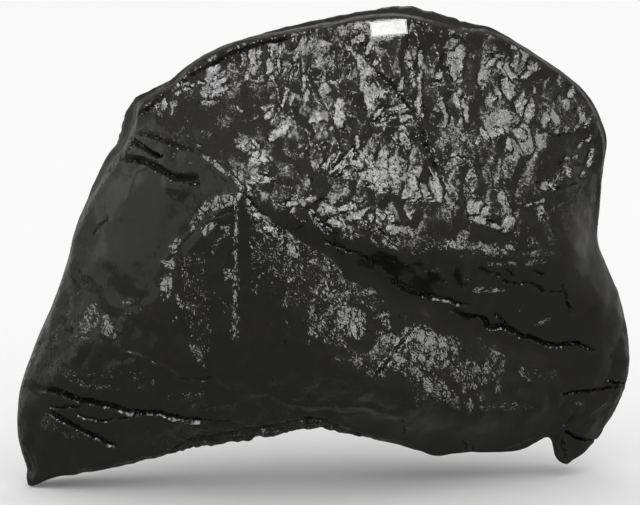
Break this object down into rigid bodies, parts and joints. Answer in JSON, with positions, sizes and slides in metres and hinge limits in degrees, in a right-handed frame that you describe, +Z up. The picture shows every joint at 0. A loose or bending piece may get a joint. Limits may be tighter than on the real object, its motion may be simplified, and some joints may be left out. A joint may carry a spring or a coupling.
{
  "type": "bicycle cover",
  "caption": "Thin glossy black fitted cover, hollow and open underneath, tented out by the grips and wheels under it, with a seam over the top and a gathered hem.",
  "frame": {"origin": "just under the top of the cover, where what it covers carries it", "axes": "+X along the cover to the right as seen from the near side, +Y from the near panel to the far panel, +Z up"},
  "size_m": [1.4005, 0.5493, 1.0632],
  "materials": {
    "film": "glossy crinkled film",
    "label": "matt woven"
  },
  "bodies": {
    "root": {"near_panel": "film", "far_panel": "film", "label": "label"}
  },
  "joints": []
}
